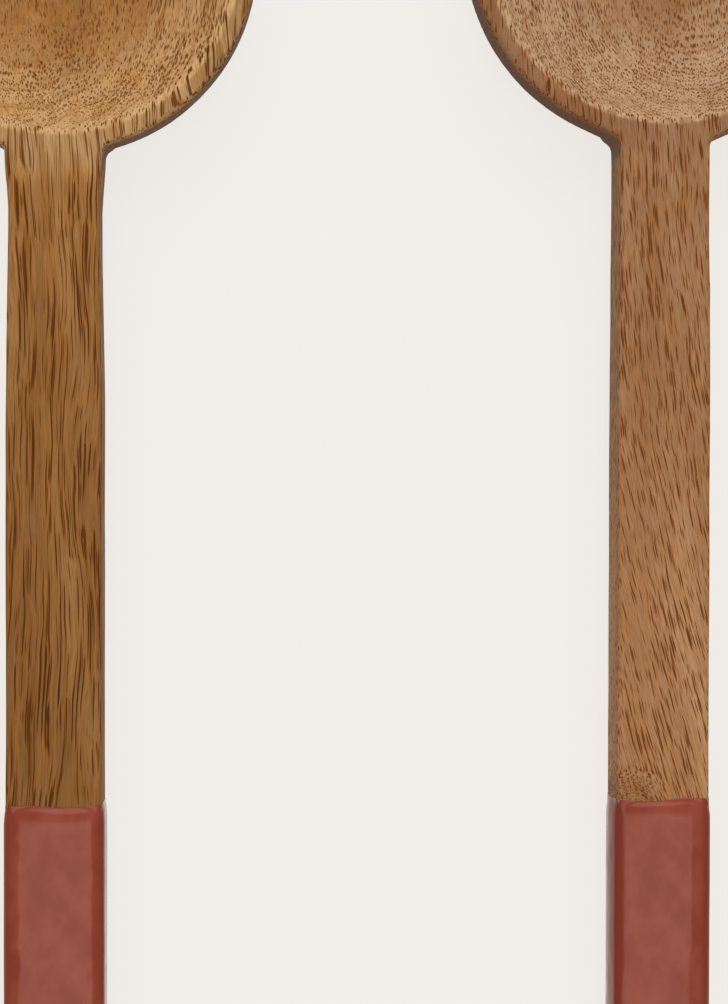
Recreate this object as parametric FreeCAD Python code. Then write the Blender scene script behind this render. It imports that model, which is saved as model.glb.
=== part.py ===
import FreeCAD, Part

import math
import os
from collections import namedtuple

from FreeCAD import Placement, Rotation, Vector

# A pair of carved wooden salad servers whose handles are dipped in enamel, laid side by side on a table.
# Millimetres. X runs across the pair, Y along the servers towards their bowls, Z up from the table.
# The origin is on the table, under the middle of the pair.
#
# Each server is carved in its own frame first: its bowl's axis is Z, its flat top face is Z = 0, and its
# handle runs along -Y. It is then tipped until its belly and the end of its handle both touch the table.

# --- The pair ---
BOWL_GAP = 36.4             # bare table between the two bowls
STAGGER = 3.4               # how far the right server lies ahead of the left one

# --- Sizes that the two servers share ---
SERVER_LENGTH = 300.0       # tip of the bowl to the end of the enamelled handle
BOWL_RADIUS = 35.0
HOLLOW_DEPTH = 12.0
BOWL_FLOOR = 4.0            # wood left under the deepest point of the hollow
BOWL_WALL = 8.8             # height of the upright edge round the bowl
STEM_THICKNESS = 9.0
KEEL_RADIUS = 30.0          # the scooped run from the back of the stem down to the belly
KEEL_BITE = 0.4             # how deep that run would cut into the belly if it went on
WAIST_DROP = 11.0           # neck to the narrowest place of the stem
SWELL_DROP = 45.0           # neck to where the stem has reached its full width
HANDLE_CORNER = 5.0         # rounded corners of the handle's end, seen from above

# --- Worked edges ---
RIM_RADIUS = 1.5            # inner lip of the hollow, turned over into the flat rim
EDGE_CHAMFER = 0.5          # top and back edges all round a server
BELLY_CHAMFER = 2.5         # where the upright edge of the bowl turns under

# --- The enamel ---
COAT_THICKNESS = 0.7
COAT_EDGE_RADIUS = 1.2      # the coat's long edges and end, which it flows round
LIP_CHAMFER = 0.3           # where the coat thins out round the stem

# What differs between two servers carved by hand. The shoulder's angle is the slope of the bowl's outline
# where it runs into the neck, and the dip's length is the enamelled part of the handle.
Carving = namedtuple("Carving", [
    "rim_width", "shoulder_angle", "neck_ease", "neck_width", "waist_width", "stem_width", "dip_length",
])
CARVINGS = {
    "left": Carving(
        rim_width=3.0, shoulder_angle=18.0, neck_ease=0.7,
        neck_width=17.0, waist_width=15.7, stem_width=16.6, dip_length=117.6,
    ),
    "right": Carving(
        rim_width=3.1, shoulder_angle=24.5, neck_ease=1.6,
        neck_width=16.2, waist_width=16.15, stem_width=16.65, dip_length=114.9,
    ),
}

# --- Worked out from the sizes above ---
BELLY_DEPTH = HOLLOW_DEPTH + BOWL_FLOOR
BELLY_SAG = BELLY_DEPTH - BOWL_WALL
BELLY_RADIUS = (BOWL_RADIUS**2 + BELLY_SAG**2) / (2 * BELLY_SAG)
BELLY_CENTRE = Vector(0, 0, BELLY_RADIUS - BELLY_DEPTH)
HANDLE_END_Y = BOWL_RADIUS - SERVER_LENGTH
MARGIN = 10.0               # how far cutting tools reach past what they cut
TINY = 0.001                # slack in telling edges apart by where they lie

UP = Vector(0, 0, 1)
ACROSS = Vector(1, 0, 0)
TO_HANDLE = Vector(0, -1, 0)


# --- Drawing ---

def line(a, b):
    return Part.LineSegment(a, b).toShape()


def arc(a, b, centre, radius):
    """The short way round a circle from one of its points to another."""
    return Part.Arc(a, on_circle(centre, radius, (a + b) / 2), b).toShape()


def on_circle(centre, radius, toward):
    """The point of a circle that lies nearest to another point."""
    direction = toward - centre
    return centre + direction * (radius / direction.Length)


def mirrored(thing):
    """A point or an edge on the other side of a server's centre line."""
    if isinstance(thing, Vector):
        return Vector(-thing.x, thing.y, thing.z)
    return thing.mirror(Vector(0, 0, 0), ACROSS)


def face(edges):
    return Part.Face(Part.Wire(Part.sortEdges(edges)[0]))


def edges_where(shape, wanted):
    """The edges whose bounding box passes the test."""
    return [e for e in shape.Edges if wanted(e.BoundBox)]


# --- The bowl ---

def bowl_board(carving):
    """The bowl's outline, a circle with two straight shoulders that meet inside the stem, one board thick."""
    angle = math.radians(carving.shoulder_angle)
    down_shoulder = Vector(math.sin(angle), -math.cos(angle), 0)
    shoulder = down_shoulder * BOWL_RADIUS
    # The shoulders would cross in a sharp point on the centre line. An arc lost inside the stem joins them.
    nose_radius = carving.waist_width / 4
    nose_centre = Vector(0, (nose_radius - BOWL_RADIUS) / math.cos(angle), 0)
    nose = nose_centre + down_shoulder * nose_radius
    outline = face([
        Part.Arc(mirrored(shoulder), Vector(0, BOWL_RADIUS, 0), shoulder).toShape(),
        line(shoulder, nose),
        arc(nose, mirrored(nose), nose_centre, nose_radius),
        line(mirrored(nose), mirrored(shoulder)),
    ])
    return outline.extrude(-UP * BELLY_DEPTH)


def bowl_blank(carving):
    """The bowl before it is hollowed: a flat top, an upright edge turned under, and a round belly."""
    blank = bowl_board(carving).common(Part.makeSphere(BELLY_RADIUS, BELLY_CENTRE))
    turn = edges_where(blank, lambda box: -BELLY_DEPTH < box.ZMin and box.ZMax < -BOWL_WALL / 2)
    return blank.makeChamfer(BELLY_CHAMFER, turn)


def hollow(carving):
    """What is scooped out of the bowl: a round dish whose lip turns over into the flat rim."""
    lip_radius = BOWL_RADIUS - carving.rim_width
    dish_radius = (lip_radius**2 + HOLLOW_DEPTH**2 - 2 * RIM_RADIUS * HOLLOW_DEPTH) / (2 * HOLLOW_DEPTH)
    dish_centre = UP * (dish_radius - HOLLOW_DEPTH)
    lip_centre = Vector(lip_radius, 0, -RIM_RADIUS)
    floor = UP * -HOLLOW_DEPTH
    lip_low = on_circle(dish_centre, dish_radius, lip_centre)
    lip_high = lip_centre + UP * RIM_RADIUS
    profile = face([
        arc(floor, lip_low, dish_centre, dish_radius),
        arc(lip_low, lip_high, lip_centre, RIM_RADIUS),
        line(lip_high, lip_high + UP * MARGIN),
        line(lip_high + UP * MARGIN, UP * MARGIN),
        line(UP * MARGIN, floor),
    ])
    return profile.revolve(Vector(0, 0, 0), UP, 360)


# --- The stem ---

def keel(carving):
    """The scooped web under the neck, an arc that runs from the stem's flat back into the round belly."""
    half = carving.waist_width / 2 - EDGE_CHAMFER
    # The arc meets the belly at a low angle, where it is under the web's sides.
    belly_radius = math.sqrt(BELLY_RADIUS**2 - half**2)
    centre_z = -STEM_THICKNESS - KEEL_RADIUS
    reach = belly_radius + KEEL_RADIUS - KEEL_BITE
    centre = Vector(-half, -math.sqrt(reach**2 - (BELLY_CENTRE.z - centre_z) ** 2), centre_z)
    start = centre + UP * KEEL_RADIUS
    end = on_circle(centre, KEEL_RADIUS, Vector(-half, 0, BELLY_CENTRE.z))
    # The web reaches up into the middle of the stem, where it is lost in the wood.
    above_start = Vector(start.x, start.y, -STEM_THICKNESS / 2)
    above_end = Vector(end.x, end.y, above_start.z)
    profile = face([
        arc(start, end, centre, KEEL_RADIUS),
        line(end, above_end),
        line(above_end, above_start),
        line(above_start, start),
    ])
    return profile.extrude(ACROSS * 2 * half)


def neck(carving, grow):
    """One side of the neck seen from above, and its two ends, one lost in the bowl and one on the stem."""
    angle = math.radians(carving.shoulder_angle)
    reach = BOWL_RADIUS + carving.neck_ease
    ease_centre = Vector(carving.neck_width / 2 + carving.neck_ease, 0, 0)
    # The small arc at the neck touches the straight shoulder, or the round bowl if the neck is too wide.
    if ease_centre.x < reach * math.sin(angle):
        ease_centre.y = ease_centre.x * math.tan(angle) - reach / math.cos(angle)
        outward = Vector(math.sin(angle), -math.cos(angle), 0)
    else:
        ease_centre.y = -math.sqrt(reach**2 - ease_centre.x**2)
        outward = ease_centre / reach
    touch = ease_centre - outward * carving.neck_ease
    on_stem = ease_centre - ACROSS * carving.neck_ease
    # From the bowl's edge the outline tucks back up into the bowl, where it is lost in the wood.
    tuck_radius = carving.neck_width / 8
    tuck_centre = touch - outward * tuck_radius
    tuck_end = tuck_centre + ACROSS * tuck_radius
    inside = tuck_end + Vector(0, carving.rim_width, 0)
    edges = [
        line(inside, tuck_end),
        arc(tuck_end, touch, tuck_centre, tuck_radius),
        arc(touch, on_stem, ease_centre, carving.neck_ease),
    ]
    out = ACROSS * grow
    return [e.translated(out) for e in edges], inside + out, on_stem + out


def stem_slab(carving, grow=0.0):
    """Stem and handle with sharp edges: a waist below the neck, a slow swell, a rounded end and a flat back.

    grow is how far its sides, faces and end stand out from the wood, for the enamel round it.
    """
    edges, inside, top = neck(carving, grow)
    waist = Vector(carving.waist_width / 2 + grow, top.y - WAIST_DROP, 0)
    full = Vector(carving.stem_width / 2 + grow, top.y - SWELL_DROP, 0)
    side = Part.BSplineCurve()
    side.interpolate(Points=[top, waist, full], Tangents=[TO_HANDLE] * 3, TangentFlags=[True] * 3)

    end_y = HANDLE_END_Y + COAT_THICKNESS - grow
    corner_radius = HANDLE_CORNER + grow
    corner_centre = Vector(full.x - corner_radius, end_y + corner_radius, 0)
    turn_out = corner_centre + ACROSS * corner_radius
    turn_in = Vector(corner_centre.x, end_y, 0)

    edges += [side.toShape(), line(full, turn_out), arc(turn_out, turn_in, corner_centre, corner_radius)]
    across = [line(turn_in, mirrored(turn_in)), line(mirrored(inside), inside)]
    outline = face(edges + [mirrored(e) for e in edges] + across)
    return outline.translated(UP * grow).extrude(-UP * (STEM_THICKNESS + 2 * grow))


# --- The pieces of one server ---

def wooden_server(carving):
    """Bowl, stem and the core of the handle, carved from one board."""
    stem = stem_slab(carving)
    stem = stem.makeChamfer(EDGE_CHAMFER, edges_where(stem, lambda box: box.ZMax < TINY - STEM_THICKNESS))
    board = bowl_blank(carving).multiFuse([stem, keel(carving)]).removeSplitter()
    board = board.makeChamfer(EDGE_CHAMFER, edges_where(board, lambda box: box.ZMin > -TINY))
    return board.cut(hollow(carving)).Solids[0]


def handle_enamel(carving, wood):
    """The dipped coat: a closed skin over the handle, thinning out where it ends round the stem."""
    lip_y = HANDLE_END_Y + carving.dip_length
    dip = Part.makeBox(
        2 * BOWL_RADIUS, carving.dip_length + MARGIN, BELLY_DEPTH + 2 * MARGIN,
        Vector(-BOWL_RADIUS, HANDLE_END_Y - MARGIN, -BELLY_DEPTH - MARGIN),
    )
    skin = stem_slab(carving, COAT_THICKNESS).common(dip)
    long_or_end = edges_where(skin, lambda box: box.ZLength < TINY and box.YMin < lip_y - TINY)
    skin = skin.makeFillet(COAT_EDGE_RADIUS, long_or_end)
    skin = skin.makeChamfer(LIP_CHAMFER, edges_where(skin, lambda box: box.YMin > lip_y - TINY))
    return skin.cut(wood).Solids[0]


# --- Laying the pair down ---

def rest_placement():
    """Tips a server about its bowl until the belly and the handle's end touch the table together."""
    rise = BELLY_CENTRE.z + STEM_THICKNESS + COAT_THICKNESS - COAT_EDGE_RADIUS
    run = -HANDLE_END_Y - COAT_EDGE_RADIUS
    tilt = math.asin((BELLY_RADIUS - COAT_EDGE_RADIUS) / math.hypot(rise, run)) - math.atan2(rise, run)
    lift = BELLY_RADIUS - BELLY_CENTRE.z * math.cos(tilt)
    return Placement(UP * lift, Rotation(ACROSS, math.degrees(tilt)))


def pair():
    """Every piece by name, where it lies on the table."""
    pieces = {}
    side_step = BOWL_RADIUS + BOWL_GAP / 2
    places = {"left": Vector(-side_step, 0, 0), "right": Vector(side_step, STAGGER, 0)}
    for side, carving in CARVINGS.items():
        wood = wooden_server(carving)
        lie = Placement(places[side], Rotation()) * rest_placement()
        pieces[f"{side}_server"] = wood.transformed(lie.toMatrix())
        pieces[f"{side}_handle_enamel"] = handle_enamel(carving, wood).transformed(lie.toMatrix())
    box = Part.makeCompound(list(pieces.values())).optimalBoundingBox()
    middle = Vector(box.Center.x, box.Center.y, box.ZMin)
    return {name: piece.translated(-middle) for name, piece in pieces.items()}


os.makedirs("parts", exist_ok=True)
for name, piece in pair().items():
    piece.exportStep(f"parts/{name}.step")
    box = piece.optimalBoundingBox()
    print(f"{name}: valid {piece.isValid()}, {len(piece.Faces)} faces, {piece.Volume:.1f} mm3, {box}")
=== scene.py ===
from math import asin, atan2, pi, radians, tan

import bpy
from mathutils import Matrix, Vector


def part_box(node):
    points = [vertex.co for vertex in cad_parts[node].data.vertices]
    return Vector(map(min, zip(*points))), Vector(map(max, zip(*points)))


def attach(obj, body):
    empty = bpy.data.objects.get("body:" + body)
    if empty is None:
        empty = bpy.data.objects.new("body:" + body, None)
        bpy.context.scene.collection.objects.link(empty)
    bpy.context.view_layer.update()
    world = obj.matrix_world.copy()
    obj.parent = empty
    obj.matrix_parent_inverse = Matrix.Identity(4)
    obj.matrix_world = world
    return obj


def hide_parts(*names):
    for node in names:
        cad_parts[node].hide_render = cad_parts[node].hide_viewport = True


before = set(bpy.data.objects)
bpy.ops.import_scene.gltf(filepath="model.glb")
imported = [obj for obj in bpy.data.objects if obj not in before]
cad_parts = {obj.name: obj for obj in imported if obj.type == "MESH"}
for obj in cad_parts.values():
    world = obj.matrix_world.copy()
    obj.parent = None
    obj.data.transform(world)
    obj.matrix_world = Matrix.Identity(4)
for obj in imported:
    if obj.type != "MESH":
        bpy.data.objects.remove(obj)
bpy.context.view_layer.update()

MM = 0.001

# ---------------------------------------------------------------------------------------------------------
# The two wooden servers. Each is carved from one board of mango wood: a round dished bowl, a flat stem and
# the core of its handle. Sanded by hand and oiled, so that its edges are soft and its open pores show dark.
# ---------------------------------------------------------------------------------------------------------
sides_and_bodies = (("left", "left"), ("right", "right"))
server_lean = radians(1.3735)      # the belly is deeper than the handle is thick, so that the server leans
bowl_reach = 35.146 * MM           # bowl axis to the tip, as it lies
top_at_axis = 16.02 * MM           # height of the flat top over the table, at the bowl's axis
stem_thickness = 9.0 * MM
merge_reach = 0.001 * MM
carving_voxel = 0.52 * MM
sanding_rounds = 4
hand_unevenness = 0.16 * MM
unevenness_size = 16.0 * MM
unevenness_level = 0.85            # high, so that the knife takes away much more than it leaves
hollow_radius = 31.95 * MM
lip_sanding_reach = 1.7 * MM       # how far the sanding of the hollow's lip reaches
lip_sanding_rounds = 10
core_slimness = 0.93               # the handle's core inside the enamel, against the bare stem
core_steps = (2.6 * MM, 3.2 * MM, 3.8 * MM, 4.4 * MM, 5.0 * MM)    # below the enamel's lip


def only(thing):
    """Leaves one object selected and active."""
    bpy.ops.object.select_all(action="DESELECT")
    thing.select_set(True)
    bpy.context.view_layer.objects.active = thing


def add_modifier(thing, kind, **settings):
    modifier = thing.modifiers.new(kind.lower(), kind)
    for name, value in settings.items():
        setattr(modifier, name, value)


def apply_modifiers(thing):
    only(thing)
    for modifier in list(thing.modifiers):
        bpy.ops.object.modifier_apply(modifier=modifier.name)


def clouds(name, size):
    cloud = bpy.data.textures.new(name, "CLOUDS")
    cloud.noise_scale = size
    cloud.noise_depth = 1
    return cloud


def select_where(thing, test, kind="VERT"):
    """In edit mode, selects the corners, edges or faces whose corners pass a test, and nothing else."""
    bpy.ops.mesh.select_mode(type=kind)
    bpy.ops.mesh.select_all(action="DESELECT")
    bpy.ops.object.mode_set(mode="OBJECT")
    mesh = thing.data
    if kind == "VERT":
        for vertex in mesh.vertices:
            vertex.select = test(vertex.co)
    else:
        for part in mesh.edges if kind == "EDGE" else mesh.polygons:
            part.select = test([mesh.vertices[i].co for i in part.vertices])
    bpy.ops.object.mode_set(mode="EDIT")


def server_axis(side):
    """Where a bowl's axis meets its flat top."""
    lo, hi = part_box(f"{side}_server")
    return Vector(((lo.x + hi.x) / 2, hi.y - bowl_reach, top_at_axis))


hand_carving = clouds("hand_carving", unevenness_size)


def carve_server(side, body):
    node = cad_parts[f"{side}_server"]
    server = bpy.data.objects.new(f"{side}_carved_server", node.data.copy())
    bpy.context.scene.collection.objects.link(server)
    server.data.materials.clear()
    only(server)
    bpy.ops.object.mode_set(mode="EDIT")
    bpy.ops.mesh.select_all(action="SELECT")
    bpy.ops.mesh.remove_doubles(threshold=merge_reach)
    bpy.ops.object.mode_set(mode="OBJECT")
    add_modifier(server, "REMESH", mode="VOXEL", voxel_size=carving_voxel, use_smooth_shade=True)
    add_modifier(server, "SMOOTH", factor=0.5, iterations=sanding_rounds)
    add_modifier(
        server, "DISPLACE", texture=hand_carving, texture_coords="LOCAL", direction="NORMAL",
        mid_level=unevenness_level, strength=hand_unevenness,
    )
    apply_modifiers(server)
    # the lip of the hollow is sanded round
    axis = server_axis(side)
    lip = server.vertex_groups.new(name="hollow_lip")
    for vertex in server.data.vertices:
        from_axis = vertex.co - axis
        out_of_lip = abs(from_axis.xy.length - hollow_radius)
        if out_of_lip < lip_sanding_reach and abs(from_axis.z) < lip_sanding_reach:
            lip.add([vertex.index], 1.0, "REPLACE")
    add_modifier(server, "SMOOTH", factor=0.5, iterations=lip_sanding_rounds, vertex_group="hollow_lip")
    apply_modifiers(server)
    # the handle was dressed a little slimmer where the enamel covers it
    lo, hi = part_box(f"{side}_handle_enamel")
    middle = axis.z - stem_thickness / 2 + ((lo.y + hi.y) / 2 - axis.y) * tan(server_lean)
    slimmer = core_slimness ** (1 / len(core_steps))
    bpy.ops.object.mode_set(mode="EDIT")
    for step in core_steps:
        select_where(server, lambda corner: corner.y < hi.y - step)
        bpy.ops.transform.resize(value=(slimmer, 1, slimmer), center_override=(axis.x, 0, middle))
    bpy.ops.object.mode_set(mode="OBJECT")
    bpy.ops.object.shade_smooth()
    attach(server, body)
    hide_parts(f"{side}_server")
    return server


# -- nodes, shared by the materials --

class Tree:
    """Short words for building a node tree from left to right."""

    def __init__(self, tree):
        self.tree = tree

    def add(self, kind, settings=None, **inputs):
        node = self.tree.nodes.new(kind)
        for name, value in (settings or {}).items():
            setattr(node, name, value)
        for key, value in inputs.items():
            self.feed(node.inputs[key.replace("_", " ")], value)
        return node

    def feed(self, socket, value):
        if isinstance(value, bpy.types.NodeSocket):
            self.tree.links.new(value, socket)
        else:
            socket.default_value = value

    def math(self, operation, *values, clamp=False):
        node = self.add("ShaderNodeMath", {"operation": operation, "use_clamp": clamp})
        for socket, value in zip(node.inputs, values):
            self.feed(socket, value)
        return node.outputs[0]

    def times(self, a, b, clamp=False):
        return self.math("MULTIPLY", a, b, clamp=clamp)

    def vector(self, operation, a, b=None, scale=None):
        node = self.add("ShaderNodeVectorMath", {"operation": operation})
        self.feed(node.inputs[0], a)
        if b is not None:
            self.feed(node.inputs[1], b)
        if scale is not None:
            self.feed(node.inputs["Scale"], scale)
        return node.outputs["Value" if operation == "LENGTH" else "Vector"]

    def combine(self, x, y, z):
        return self.add("ShaderNodeCombineXYZ", X=x, Y=y, Z=z).outputs[0]

    def noise(self, vector, scale, detail=2.0, rough=0.5, colour=False):
        node = self.add("ShaderNodeTexNoise", Vector=vector, Scale=scale, Detail=detail, Roughness=rough)
        return node.outputs["Color" if colour else "Fac"]

    def pattern(self, place, pace, detail=2.0, rough=0.5, colour=False):
        """Noise that changes at its own pace along each of the three directions."""
        return self.noise(self.vector("MULTIPLY", place, pace), 1.0, detail, rough, colour)

    def ramp(self, value, low, high, to_low=0.0, to_high=1.0, smooth=True):
        node = self.add(
            "ShaderNodeMapRange", {"interpolation_type": "SMOOTHSTEP" if smooth else "LINEAR"},
            Value=value, From_Min=low, From_Max=high, To_Min=to_low, To_Max=to_high,
        )
        return node.outputs[0]

    def fall(self, value, low, high):
        """One up to low, and nothing from high on."""
        return self.ramp(value, low, high, 1.0, 0.0)

    def mix(self, factor, a, b, blend="MIX"):
        node = self.add("ShaderNodeMix", {"data_type": "RGBA", "blend_type": blend})
        for number, value in ((0, factor), (6, a), (7, b)):
            self.feed(node.inputs[number], value)
        return node.outputs[2]

    def tint(self, colour, mask, depth, other):
        return self.mix(self.times(mask, depth), colour, other)


def new_group(name, takes, gives):
    group = bpy.data.node_groups.new(name, "ShaderNodeTree")
    for way, sockets in (("INPUT", takes), ("OUTPUT", gives)):
        for label, kind in sockets.items():
            group.interface.new_socket(name=label, in_out=way, socket_type=f"NodeSocket{kind}")
    start = group.nodes.new("NodeGroupInput")
    end = group.nodes.new("NodeGroupOutput")
    return group, Tree(group), start.outputs, end.inputs


# How fast each pattern of the wood changes per millimetre: across the board, along it and into it.
crowd_pace = (0.22, 0.045, 0.22)
wander_pace = 0.07                 # across and into; along it, each board has its own
fine_wander_pace = (0.35, 0.12, 0.35)
swirl_pace = (0.045, 0.022, 0.045)
fibre_pace = (4.4, 0.14, 4.4)
patch_pace = (0.5, 0.06, 0.5)
cloud_pace = (0.09, 0.018, 0.09)
streak_pace = (2.4, 0.05, 2.4)
pale_lip_pace = 0.8
noise_middle = (0.5, 0.5, 0.5)
wander_share = (2.0, 0.0, 0.8)     # the grain wanders sideways most, and never along itself
fine_wander = (0.45, 0.0, 0.45)
late_wood = (0.5, 0.9, 1.0)        # of a year's growth: where it starts to darken, is darkest and ends
year_line = (0.84, 0.92, 1.0)
pore_edge = (1.08, 0.85)           # of a vessel's share of its cell, where its pore begins and is full
halo_edge = (1.6, 0.95)            # the same for the stain round it
pore_darkness = 0.85


def pore_group():
    """Vessels of the wood: long thin ellipsoids along the grain, which a sloping cut shows as dots."""
    group, t, given, out = new_group(
        "wood_pores",
        {
            "Position": "Vector", "Spacing": "Float", "Length": "Float", "Share": "Float",
            "Crowding": "Float", "Seed": "Float",
        },
        {"Pores": "Float", "Halos": "Float"},
    )
    narrow = t.math("DIVIDE", 1.0, given["Spacing"])
    long = t.math("DIVIDE", 1.0, given["Length"])
    stretched = t.vector("MULTIPLY", given["Position"], t.combine(narrow, long, narrow))
    shifted = t.vector("ADD", stretched, t.combine(given["Seed"], given["Seed"], given["Seed"]))
    cells = t.add("ShaderNodeTexVoronoi", {"feature": "F1"}, Vector=shifted, Scale=1.0).outputs
    crowd = t.pattern(given["Position"], crowd_pace)
    swing = t.times(t.math("SUBTRACT", crowd, 0.5), given["Crowding"])
    one_each = t.times(t.math("SUBTRACT", cells["Color"], 0.5), 0.5)
    share = t.times(given["Share"], t.math("ADD", t.math("ADD", 1.0, swing), one_each))
    pore, halo = (
        t.ramp(cells["Distance"], t.times(share, begins), t.times(share, full))
        for begins, full in (pore_edge, halo_edge)
    )
    t.feed(out["Pores"], t.times(pore, t.math("ADD", pore_darkness, one_each), clamp=True))
    t.feed(out["Halos"], halo)
    return group


def grain_group():
    """Position along and across the grain, growth rings round a distant pith, rows, fibres and patches."""
    group, t, given, out = new_group(
        "wood_grain",
        {
            "Position": "Vector", "Wander": "Float", "Wander Length": "Float", "Slant": "Float",
            "Pith": "Vector", "Ring Width": "Float", "Ring Swirl": "Float", "Row Width": "Float",
        },
        {
            "Position": "Vector", "Rings": "Float", "Lines": "Float", "Rows": "Float", "Fibres": "Float",
            "Patches": "Float", "Clouds": "Float",
        },
    )
    place = given["Position"]
    along_pace = t.math("DIVIDE", 1.0, given["Wander Length"])
    wave = t.pattern(place, t.combine(wander_pace, along_pace, wander_pace), rough=0.45, colour=True)
    push = t.vector("SCALE", t.vector("SUBTRACT", wave, noise_middle), scale=given["Wander"])
    fine = t.pattern(place, fine_wander_pace, 1.0, colour=True)
    fine_push = t.vector("MULTIPLY", t.vector("SUBTRACT", fine, noise_middle), fine_wander)
    warped = t.vector("ADD", place, t.vector("MULTIPLY", push, wander_share))
    warped = t.vector("ADD", warped, fine_push)
    lengthwise = t.add("ShaderNodeSeparateXYZ", Vector=place).outputs[1]
    bend = t.times(t.times(lengthwise, lengthwise), given["Slant"])
    warped = t.vector("SUBTRACT", warped, t.combine(bend, 0.0, 0.0))
    t.feed(out["Position"], warped)

    # each year's growth darkens slowly and ends in a line
    swirl = t.times(t.math("SUBTRACT", t.pattern(place, swirl_pace), 0.5), given["Ring Swirl"])
    from_pith = t.vector("MULTIPLY", t.vector("SUBTRACT", warped, given["Pith"]), (1.0, 0.0, 1.0))
    reach = t.vector("LENGTH", from_pith)
    year = t.math("FRACT", t.math("ADD", t.math("DIVIDE", reach, given["Ring Width"]), swirl))
    for name, (begins, darkest, ends) in (("Rings", late_wood), ("Lines", year_line)):
        t.feed(out[name], t.times(t.ramp(year, begins, darkest), t.fall(year, darkest, ends)))
    row = t.math("ADD", t.math("DIVIDE", reach, given["Row Width"]), swirl)
    row = t.math("SINE", t.times(row, 2 * pi))
    t.feed(out["Rows"], t.math("ADD", t.times(row, 0.5), 0.5))

    t.feed(out["Fibres"], t.pattern(warped, fibre_pace, 3.0, 0.6))
    t.feed(out["Patches"], t.pattern(warped, patch_pace))
    t.feed(out["Clouds"], t.pattern(place, cloud_pace))
    return group


wood_pores = pore_group()
wood_grain = grain_group()


def place_group(t, group, **inputs):
    return t.add("ShaderNodeGroup", {"node_tree": group}, **inputs).outputs


def new_material(name):
    material = bpy.data.materials.new(name)
    material.use_nodes = True
    material.node_tree.nodes.clear()
    t = Tree(material.node_tree)
    surface = t.add("ShaderNodeBsdfPrincipled")
    t.tree.links.new(surface.outputs[0], t.add("ShaderNodeOutputMaterial").inputs[0])
    return material, t, surface


def millimetres_from(t, place, lean):
    """Object coordinates in millimetres, from a point of the piece and along its own lean."""
    here = t.add("ShaderNodeTexCoord").outputs["Object"]
    mapping = t.add(
        "ShaderNodeMapping", {"vector_type": "TEXTURE"},
        Vector=here, Location=place, Rotation=(lean, 0.0, 0.0), Scale=(MM, MM, MM),
    )
    return mapping.outputs[0]


# Where each pattern turns from one colour to the other.
cloud_turn = (0.3, 0.7)
patch_turn = (0.48, 0.64)
fibre_turn = (0.25, 0.75)
streak_turn = (0.55, 0.68)
pale_lip_turn = (0.38, 0.62)
# Places on a server in millimetres from its bowl's axis: outwards, across the board or along it.
in_plan = (1.0, 1.0, 0.0)
inside_fade = 2.0                  # from the hollow's lip inwards
rim_fade = 0.8                     # from the hollow's lip outwards
rim_end = (36.0, 39.0)             # where the rim has run into the stem
rim_sides = (20.0, 33.0)           # across, where the rim's grain runs along its edge
rim_side_shade = 0.86
centre_reach = (8.0, 24.0)         # the middle of the hollow is warmer, where more oil stood
centre_warmth = 0.5
centre_patch_reach = (8.0, 26.0)   # and so are its warm patches
centre_patch_warmth = 1.6
centre_paleness = 0.05             # and it is hardly paler than the board
foot_reach = (-135.0, -65.0)       # along, from the foot of the bare stem to its middle
shade_reach = (-150.0, -35.0)      # along, where the board changes from its foot's shade to its bowl's
pale_lip_reach = (2.2, 0.6, 0.4)     # inside the lip, the paler band begins and is full; outside it, it is gone
least_pale_lip = 0.1
edge_start = (34.2, 34.9)          # outwards, the bowl's upright edge, which is painted in shade
edge_top = (-1.5, -0.8)            # up
edge_end = (37.0, 40.0)
# painted shade on the bowl's upright edge: how strong, and its colour
edge_shade_depth = 0.85
edge_shade_wood = (0.09, 0.045, 0.021, 1)
dive_fade = 3.0                    # a dive this deep has its full effect
dive_share = 1.25
dive_shade = 0.76
small_against_big = (0.6, 0.5)     # the small vessels' spacing and length
small_crowding = 0.8
big_seed, small_seed = 3.7, 11.3
oiled_roughness = 0.52
pore_roughness = 0.25              # more than the wood round them
small_pore_dent = 0.4              # against the depth of a big one
fibre_dent = 0.35
wood_bump = dict(Strength=0.35, Distance=0.12 * MM)
wood_shine = 0.08


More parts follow.
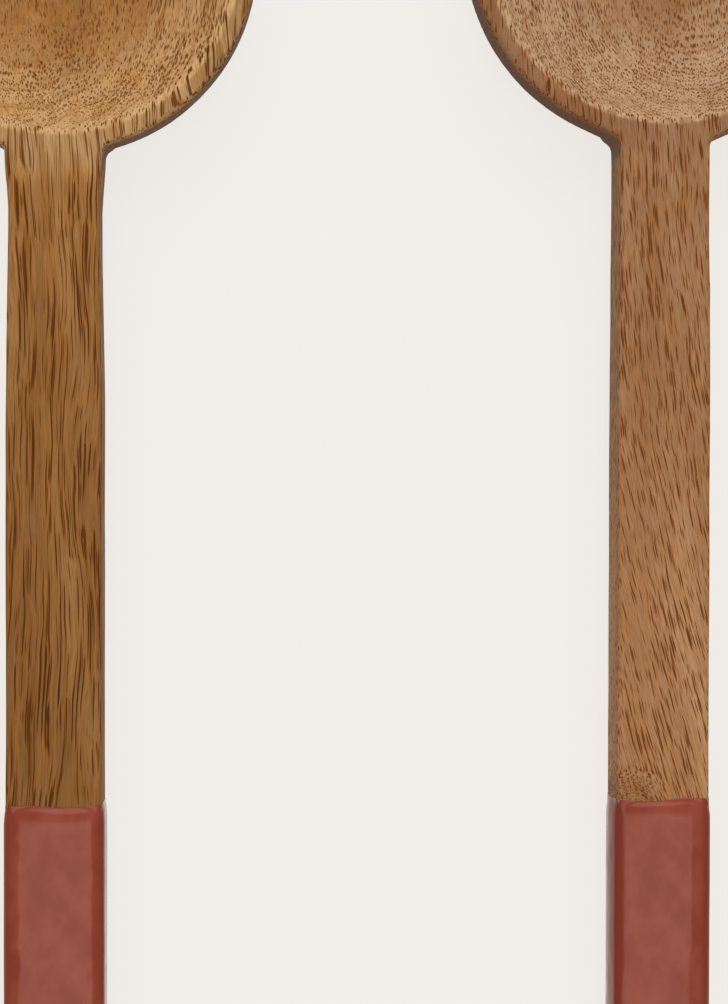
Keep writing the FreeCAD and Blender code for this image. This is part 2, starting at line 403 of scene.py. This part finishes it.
def mango_wood(side, look):
    material, t, surface = new_material(f"{side}_mango_wood")
    place = millimetres_from(t, server_axis(side), server_lean)
    across, along, up = t.add("ShaderNodeSeparateXYZ", Vector=place).outputs
    radius = t.vector("LENGTH", t.vector("MULTIPLY", place, in_plan))
    lip = look["lip_radius"]
    inside = t.fall(radius, lip - inside_fade, lip)
    grain = place_group(
        t, wood_grain, Position=place, Wander=look["wander"], Wander_Length=look["wander_length"],
        Slant=look["slant"], Pith=look["pith"], Ring_Width=look["ring_width"],
        Ring_Swirl=look["ring_swirl"], Row_Width=look["row_width"],
    )
    # where the vessels dive under the surface, the board shows them as dots
    dive_x, dive_y, dive_size, dive_depth = look["dive"]
    off = t.vector("MULTIPLY", t.vector("SUBTRACT", place, (dive_x, dive_y, 0.0)), in_plan)
    dive = t.ramp(t.vector("LENGTH", off), 0.0, dive_size, dive_depth, 0.0)
    vessels = t.vector("ADD", grain["Position"], t.combine(0.0, 0.0, dive))
    row_depth = look["row_depth"]
    share = t.ramp(inside, 0.0, 1.0, look["pore_share"], look["hollow_share"])
    for change in (
        t.ramp(grain["Rows"], 0.0, 1.0, 1.0 - row_depth, 1.0 + row_depth, smooth=False),
        t.ramp(along, *foot_reach, look["foot_share"], 1.0),
        t.ramp(dive, 0.0, dive_fade, 1.0, dive_share),
    ):
        share = t.times(share, change)
    big = place_group(
        t, wood_pores, Position=vessels, Spacing=look["pore_spacing"], Length=look["pore_length"],
        Share=share, Crowding=look["crowding"], Seed=big_seed,
    )
    small_spacing, small_length = small_against_big
    small = place_group(
        t, wood_pores, Position=vessels, Spacing=look["pore_spacing"] * small_spacing,
        Length=look["pore_length"] * small_length, Share=look["pore_share"], Crowding=small_crowding,
        Seed=small_seed,
    )

    body = t.mix(t.ramp(grain["Clouds"], *cloud_turn), look["tan"], look["pale"])
    # the board is paler round the bowl, most of all on the slopes of its hollow: partly its own tone,
    # partly painted light
    slope_tone_and_light = t.ramp(radius, *look["slope_reach"], centre_paleness, 1.0)
    paler = t.times(t.fall(radius, *look["pale_reach"]), slope_tone_and_light)
    body = t.tint(body, paler, look["bowl_depth"], look["bowl"])
    patch_warmth = t.ramp(radius, *centre_patch_reach, centre_patch_warmth, 1.0)
    warmer = t.times(t.ramp(grain["Patches"], *patch_turn), patch_warmth)
    warmer = t.math("ADD", warmer, t.ramp(radius, *centre_reach, centre_warmth, 0.0), clamp=True)
    body = t.tint(body, warmer, look["warm_depth"], look["warm"])
    body = t.tint(body, grain["Rings"], look["ring_depth"], look["ring"])
    body = t.tint(body, grain["Lines"], look["line_depth"], look["warm"])
    fibre_depth = look["fibre_depth"]
    bowl_shade, foot_shade = look["shades"]
    rim = t.times(t.ramp(radius, lip, lip + rim_fade), t.fall(radius, *rim_end))
    sideways = t.times(rim, t.ramp(t.math("ABSOLUTE", across), *rim_sides))
    shade = t.ramp(grain["Fibres"], *fibre_turn, 1.0 - fibre_depth, 1.0 + fibre_depth)
    for change in (
        t.ramp(rim, 0.0, 1.0, 1.0, look["rim_shade"]),
        t.ramp(sideways, 0.0, 1.0, 1.0, rim_side_shade),
        t.ramp(dive, 0.0, dive_fade, 1.0, dive_shade),
        t.ramp(along, *shade_reach, foot_shade, bowl_shade),
    ):
        shade = t.times(shade, change)
    body = t.mix(1.0, body, t.combine(shade, shade, shade), "MULTIPLY")
    streak = t.ramp(t.pattern(grain["Position"], streak_pace), *streak_turn)
    body = t.tint(body, streak, look["streak_depth"], look["streak"])

    # the inner lip of the bowl is paler, in patches
    begins, full, gone = pale_lip_reach
    pale_lip_band = t.times(t.ramp(radius, lip - begins, lip - full), t.fall(radius, lip, lip + gone))
    patchy = t.ramp(t.noise(place, pale_lip_pace, 3.0, 0.6), *pale_lip_turn, least_pale_lip, 1.0)
    body = t.tint(body, t.times(pale_lip_band, patchy), look["lip_depth"], look["lip"])
    # painted shade: the bowl's upright outer edge is painted darker, standing in for the shade it lies in
    edge = t.times(t.ramp(radius, *edge_start), t.fall(up, *edge_top))
    body = t.tint(body, t.times(edge, t.fall(radius, *edge_end)), edge_shade_depth, edge_shade_wood)

    # each vessel is a dark open pore in a stained ring
    faint = t.ramp(inside, 0.0, 1.0, 1.0, look["hollow_pores"])
    faint = t.times(faint, t.ramp(rim, 0.0, 1.0, 1.0, look["rim_pores"]))
    dark = t.mix(inside, look["pore"], look["hollow_pore"])
    open_pore = t.times(big["Pores"], faint)
    body = t.tint(body, small["Pores"], look["small_depth"], dark)
    body = t.tint(body, t.times(big["Halos"], faint), look["halo_depth"], look["halo"])
    body = t.tint(body, open_pore, look["pore_depth"], dark)
    t.feed(surface.inputs["Base Color"], body)

    dent = t.math("MAXIMUM", open_pore, t.times(small["Pores"], small_pore_dent))
    t.feed(surface.inputs["Roughness"], t.math("ADD", oiled_roughness, t.times(dent, pore_roughness)))
    height = t.math("SUBTRACT", t.times(grain["Fibres"], fibre_dent), dent)
    bump = t.add("ShaderNodeBump", Height=height, **wood_bump)
    t.feed(surface.inputs["Normal"], bump.outputs[0])
    surface.inputs["Specular IOR Level"].default_value = wood_shine
    return material


both_boards = dict(
    ring_width=2.4, ring_depth=0.28, fibre_depth=0.17, small_depth=0.3, bowl_depth=0.75, rim_shade=0.88,
)
# bowl is the paler colour round the bowl; on the slopes of the hollow it is partly painted light
looks = {
    "left": dict(
        both_boards,
        wander=3.7, wander_length=45.0, slant=0.0, pith=(-20.0, 0.0, -70.0), ring_swirl=3.0,
        row_width=0.8, row_depth=0.2, dive=(0.0, 0.0, 1.0, 0.0),
        pore_spacing=0.35, pore_length=22.0, pore_share=0.33, hollow_share=0.32, foot_share=1.1,
        crowding=1.6,
        pale=(0.395, 0.192, 0.060, 1), tan=(0.285, 0.125, 0.034, 1), ring=(0.30, 0.118, 0.024, 1),
        warm=(0.37, 0.150, 0.022, 1), streak=(0.17, 0.060, 0.011, 1), halo=(0.225, 0.068, 0.007, 1),
        pore=(0.070, 0.020, 0.002, 1), hollow_pore=(0.105, 0.034, 0.006, 1),
        lip=(0.66, 0.43, 0.20, 1), bowl=(0.635, 0.385, 0.170, 1),
        line_depth=0.35, warm_depth=0.35, streak_depth=0.35, lip_depth=0.6, pore_depth=0.97,
        halo_depth=0.75, hollow_pores=0.8, rim_pores=0.85,
        lip_radius=32.0, pale_reach=(34.0, 42.0), slope_reach=(12.0, 28.0), shades=(0.95, 0.77),
    ),
    "right": dict(
        both_boards,
        wander=1.3, wander_length=26.0, slant=0.001, pith=(15.0, 0.0, -60.0), ring_swirl=4.0,
        row_width=0.5, row_depth=0.28, dive=(-5.5, -153.0, 8.5, 6.0),
        pore_spacing=0.33, pore_length=5.4, pore_share=0.325, hollow_share=0.33, foot_share=0.86,
        crowding=1.3,
        pale=(0.50, 0.270, 0.132, 1), tan=(0.38, 0.182, 0.078, 1), ring=(0.38, 0.170, 0.062, 1),
        warm=(0.42, 0.185, 0.062, 1), streak=(0.25, 0.105, 0.040, 1), halo=(0.29, 0.095, 0.019, 1),
        pore=(0.115, 0.034, 0.007, 1), hollow_pore=(0.085, 0.038, 0.015, 1),
        lip=(0.68, 0.47, 0.28, 1), bowl=(0.70, 0.455, 0.265, 1),
        line_depth=0.4, warm_depth=0.3, streak_depth=0.3, lip_depth=0.5, pore_depth=0.93,
        halo_depth=0.85, hollow_pores=0.85, rim_pores=1.1,
        lip_radius=31.9, pale_reach=(29.5, 32.5), slope_reach=(8.0, 23.0), shades=(0.75, 0.98),
    ),
}
servers = {}
for side, body in sides_and_bodies:
    servers[side] = carve_server(side, body)
    servers[side].data.materials.append(mango_wood(side, looks[side]))

# ---------------------------------------------------------------------------------------------------------
# The two enamel coats. The end of each handle was dipped in a thick glossy enamel, which drew back from the
# edges, crowned over the flat faces and stopped in a thin, slightly wavy lip round the wood.
# ---------------------------------------------------------------------------------------------------------
dip_lengths = {"left": 117.4 * MM, "right": 114.1 * MM}
coat_deep = 10.4 * MM              # handle and both coats, front to back
coat_slack = {"left": 0.28 * MM, "right": 0.04 * MM}     # how far its sides stay inside the CAD coat
side_bellies = {"left": 0.15 * MM, "right": 0.75 * MM}
foot_clearance = 0.04 * MM         # from the end of the CAD coat
near = 0.01 * MM                   # closer than this counts as lying there
end_corner = 5.6 * MM
end_corner_steps = 10
roll_off = 4.3 * MM                # how far in from its long edges the coat starts to fall away
roll_drop = 1.8 * MM
roll_steps = 12
lip_rings = (                      # millimetres back from the lip, and how much thinner the coat is there
    (0.0, 0.70), (0.2, 0.60), (0.5, 0.48), (0.9, 0.32), (1.2, 0.225), (2.0, 0.13), (2.9, 0.02), (3.6, 0.0),
)
first_handle_ring = 4.8 * MM       # back from the lip
handle_ring_gap = 2.0 * MM
handle_rings = 54
strip_width = 1.3 * MM             # of the strips along its faces
strips_each_side = 3
side_strip_width = 1.5 * MM
lip_waviness = 1.1 * MM
lip_wave_size = 4.5 * MM
lip_wave_reach = 5 * MM            # how far back along the handle the waves reach
lip_wave_fading = 1.5
run_depth = 0.10 * MM
run_size = 11.0 * MM
coat_wall = 0.8 * MM               # at the lip, this reaches down into the wood
lip_clearance = 0.08 * MM          # least height of the coat's surface over the wood
smooth_up_to = radians(50)
enamel_runs = clouds("enamel_runs", run_size)
lip_wave = clouds("lip_wave", lip_wave_size)


def cut_all(place, direction):
    """In edit mode, adds a ring of edges round the piece, where a plane cuts it."""
    bpy.ops.mesh.select_all(action="SELECT")
    bpy.ops.mesh.bisect(plane_co=place, plane_no=direction)


def dip_handle(side, body):
    lo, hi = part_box(f"{side}_handle_enamel")
    half = (hi.x - lo.x) / 2 - coat_slack[side]
    length = dip_lengths[side]
    stretch = roll_off / roll_drop     # while the block is so much deeper, an even bevel makes the roll-off
    tall = coat_deep * stretch / 2
    bpy.ops.object.select_all(action="DESELECT")
    bpy.ops.mesh.primitive_cube_add(size=1.0, location=(0, -length / 2, 0))
    coat = bpy.context.object
    coat.name = f"{side}_dipped_enamel"
    coat.scale = (2 * half, length, coat_deep * stretch)
    bpy.ops.object.transform_apply(location=True, rotation=True, scale=True)
    bpy.ops.object.mode_set(mode="EDIT")

    def at_foot(corners):
        return all(p.y < near - length for p in corners)

    def at_lip(corners):
        return all(p.y > -near for p in corners)

    def at_faces(corners):
        return all(abs(p.z) > tall - near for p in corners)

    def upright(ends):
        return ends[0].z * ends[1].z < 0

    # the handle's rounded end, seen from above
    select_where(coat, lambda ends: at_foot(ends) and upright(ends), "EDGE")
    bpy.ops.mesh.bevel(offset=end_corner, segments=end_corner_steps, affect="EDGES")
    # the open end, where the coat stops round the wood
    select_where(coat, at_lip, "FACE")
    bpy.ops.mesh.delete(type="ONLY_FACE")
    # the faces roll off towards the long edges and the end
    select_where(coat, lambda ends: at_faces(ends) and not upright(ends) and not at_lip(ends), "EDGE")
    bpy.ops.mesh.bevel(offset=roll_off, segments=roll_steps, affect="EDGES")
    bpy.ops.mesh.select_all(action="SELECT")
    bpy.ops.transform.resize(value=(1, 1, 1 / stretch))

    # rings along the handle, closer together at the lip, and strips along its faces and sides
    for back, thinner in lip_rings[1:]:
        cut_all((0, -back * MM, 0), (0, 1, 0))
    for ring in range(handle_rings):
        cut_all((0, -(first_handle_ring + handle_ring_gap * ring), 0), (0, 1, 0))
    for strip in range(-strips_each_side, strips_each_side + 1):
        cut_all((strip * strip_width, 0, 0), (1, 0, 0))
    for strip in (-1, 0, 1):
        cut_all((0, 0, strip * side_strip_width), (0, 0, 1))
    # its sides belly out a little between the two faces
    bpy.ops.object.mode_set(mode="OBJECT")
    levels = sorted({round(abs(v.co.z) / near) for v in coat.data.vertices if abs(v.co.z) > near})
    bpy.ops.object.mode_set(mode="EDIT")
    for level in levels:
        narrower = 1 - side_bellies[side] / half * (level * near / (coat_deep / 2)) ** 2
        select_where(coat, lambda corner: round(abs(corner.z) / near) == level)
        bpy.ops.transform.resize(value=(narrower, 1, 1), center_override=(0, 0, 0))
    # the coat thins out to its lip
    sideways = 1 - coat_slack[side] / (lip_rings[0][1] * MM)
    for back, thinner in lip_rings:
        select_where(coat, lambda corner: abs(corner.y + back * MM) < near)
        bpy.ops.transform.resize(
            value=(1 - sideways * thinner * MM / half, 1, 1 - 2 * thinner * MM / coat_deep),
            center_override=(0, 0, 0),
        )
    bpy.ops.object.mode_set(mode="OBJECT")
    lip = coat.vertex_groups.new(name="lip")
    for vertex in coat.data.vertices:
        lip.add([vertex.index], max(0.0, 1 + vertex.co.y / lip_wave_reach) ** lip_wave_fading, "REPLACE")

    # laid along the leaning handle, in the middle of the CAD coat
    coat.location = ((lo.x + hi.x) / 2, 0, 0)
    coat.rotation_euler = (server_lean, 0, 0)
    bpy.ops.object.transform_apply(location=True, rotation=True, scale=True)
    ys = [v.co.y for v in coat.data.vertices]
    zs = [v.co.z for v in coat.data.vertices]
    coat.location = (0, lo.y + foot_clearance - min(ys), (lo.z + hi.z - min(zs) - max(zs)) / 2)
    bpy.ops.object.transform_apply(location=True, rotation=True, scale=True)

    add_modifier(
        coat, "DISPLACE", texture=lip_wave, texture_coords="LOCAL", direction="Y", vertex_group="lip",
        mid_level=0.5, strength=lip_waviness,
    )
    add_modifier(
        coat, "DISPLACE", texture=enamel_runs, texture_coords="LOCAL", direction="NORMAL",
        mid_level=1.0, strength=run_depth,
    )
    add_modifier(
        coat, "SHRINKWRAP", target=servers[side], wrap_method="NEAREST_SURFACEPOINT", wrap_mode="OUTSIDE",
        offset=lip_clearance,
    )
    add_modifier(coat, "SOLIDIFY", thickness=coat_wall, offset=-1.0, use_even_offset=False)
    apply_modifiers(coat)
    bpy.ops.object.shade_smooth_by_angle(angle=smooth_up_to)
    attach(coat, body)
    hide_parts(f"{side}_handle_enamel")
    return coat


deep_terracotta = (0.228, 0.035, 0.016, 1)
light_terracotta = (0.280, 0.055, 0.031, 1)
# painted shade for the long edges of the coat
shaded_terracotta = (0.19, 0.028, 0.013, 1)
coat_shade_depths = {"left": 0.5, "right": 0.95}     # how much darker its long edges are painted, as painted shade
dark_edge_start = (6.0, 8.0)       # millimetres from the middle of the handle
dark_edge_end = (8.3, 8.8)         # where the edge has turned down into the side
side_darkness = 0.2                # against the edge's
blotch_pace = (0.2, 0.15, 0.2)     # changes per millimetre
blotch_turn = (0.32, 0.68)
ripple_pace = (0.22, 0.12, 0.22)
ripple_bump = dict(Strength=0.65, Distance=0.4 * MM)
gloss_pace = 0.35
gloss_turn = (0.3, 0.7)
enamel_roughness = (0.11, 0.19)
enamel_ior = (1.45, 1.3)           # seen straight on, and at a low angle
ior_turn = (0.5, 0.88)
enamel_shine = 0.36
enamel_shine_colour = (1.0, 0.8, 0.72, 1)


def dipped_enamel(side):
    lo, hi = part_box(f"{side}_handle_enamel")
    material, t, surface = new_material(f"{side}_terracotta_enamel")
    place = millimetres_from(t, ((lo.x + hi.x) / 2, hi.y, hi.z), server_lean)
    blotch = t.ramp(t.pattern(place, blotch_pace, 3.0, 0.55), *blotch_turn)
    colour = t.mix(blotch, deep_terracotta, light_terracotta)
    # painted shade: its long edges are painted darker, where the coat rolls off away from the light
    across = t.math("ABSOLUTE", t.add("ShaderNodeSeparateXYZ", Vector=place).outputs[0])
    coat_edge_shade = t.ramp(across, *dark_edge_start, 0.0, coat_shade_depths[side])
    coat_edge_shade = t.times(coat_edge_shade, t.ramp(across, *dark_edge_end, 1.0, side_darkness))
    t.feed(surface.inputs["Base Color"], t.mix(coat_edge_shade, colour, shaded_terracotta))
    roughness = t.ramp(t.noise(place, gloss_pace), *gloss_turn, *enamel_roughness)
    t.feed(surface.inputs["Roughness"], roughness)
    ripple = t.pattern(place, ripple_pace, 1.5, 0.4)
    bump = t.add("ShaderNodeBump", Height=ripple, **ripple_bump)
    t.feed(surface.inputs["Normal"], bump.outputs[0])
    edgewise = t.add("ShaderNodeLayerWeight", Blend=0.5).outputs["Facing"]
    t.feed(surface.inputs["IOR"], t.ramp(edgewise, *ior_turn, *enamel_ior))
    surface.inputs["Specular IOR Level"].default_value = enamel_shine
    surface.inputs["Specular Tint"].default_value = enamel_shine_colour
    return material


for side, body in sides_and_bodies:
    coat = dip_handle(side, body)
    coat.data.materials.append(dipped_enamel(side))

# ---------------------------------------------------------------------------------------------------------
# The table top, the light and the camera. A warm white table, two large soft panels and a dim room, seen
# from almost straight above.
# ---------------------------------------------------------------------------------------------------------
table_size = 12.0
table_height = -0.05 * MM          # just under the servers
table_paint = (0.100, 0.096, 0.089, 1)
table_bounce = (0.55, 0.52, 0.48, 1)
table_glow = (0.888, 0.863, 0.823, 1)
table_glow_strength = 0.89

bpy.ops.object.select_all(action="DESELECT")
bpy.ops.mesh.primitive_plane_add(size=table_size, location=(0, 0, table_height))
table = bpy.context.object
table.name = "table_top"
material, t, surface = new_material("table_paint")
path = t.add("ShaderNodeLightPath").outputs
seen = t.math("MAXIMUM", path["Is Camera Ray"], path["Is Glossy Ray"])
seen = t.math("MAXIMUM", seen, path["Is Transmission Ray"])
t.feed(surface.inputs["Base Color"], t.mix(seen, table_bounce, table_paint))
surface.inputs["Roughness"].default_value = 1.0
surface.inputs["Specular IOR Level"].default_value = 0.0
surface.inputs["Emission Color"].default_value = table_glow
t.feed(surface.inputs["Emission Strength"], t.times(seen, table_glow_strength))
table.data.materials.append(material)


def soft_panel(name, location, size, radiance, tip):
    """A large soft lamp of even brightness, tipped about the X axis from facing straight down."""
    bpy.ops.object.light_add(type="AREA", location=location, rotation=(tip, 0, 0))
    panel = bpy.context.object
    panel.name = name
    panel.data.shape = "RECTANGLE"
    panel.data.size, panel.data.size_y = size
    panel.data.energy = radiance * pi * size[0] * size[1]
    panel.visible_camera = False


soft_panel("overhead_panel", location=(-0.06, -0.30, 1.0), size=(0.98, 0.50), radiance=1.75, tip=0.0)
soft_panel("window_panel", location=(0, 0.80, 0.72), size=(1.3, 1.0), radiance=1.9, tip=-radians(48))

room_colour = (1.0, 0.985, 0.965, 1)
room_strength = 0.5
world = bpy.data.worlds.new("dim_room")
bpy.context.scene.world = world
world.use_nodes = True
room = world.node_tree.nodes["Background"].inputs
room["Color"].default_value = room_colour
room["Strength"].default_value = room_strength

view_distance = 310.0 * MM
view_middle = Vector((0.21, 18.10, 13.7)) * MM
view_from = Vector((-0.071, -0.012, 1.0)).normalized()
lens_length = 64.02                # millimetres, on a sensor this wide
sensor_width = 36.0
nearest_seen = 0.01
camera_data = bpy.data.cameras.new("camera")
camera_data.lens = lens_length
camera_data.sensor_width = sensor_width
camera_data.clip_start = nearest_seen
camera = bpy.data.objects.new("camera", camera_data)
bpy.context.scene.collection.objects.link(camera)
camera.location = view_middle + view_from * view_distance
camera.rotation_euler = (-asin(view_from.y), atan2(view_from.x, view_from.z), 0)
bpy.context.scene.camera = camera
bpy.context.scene.view_settings.view_transform = "Standard"
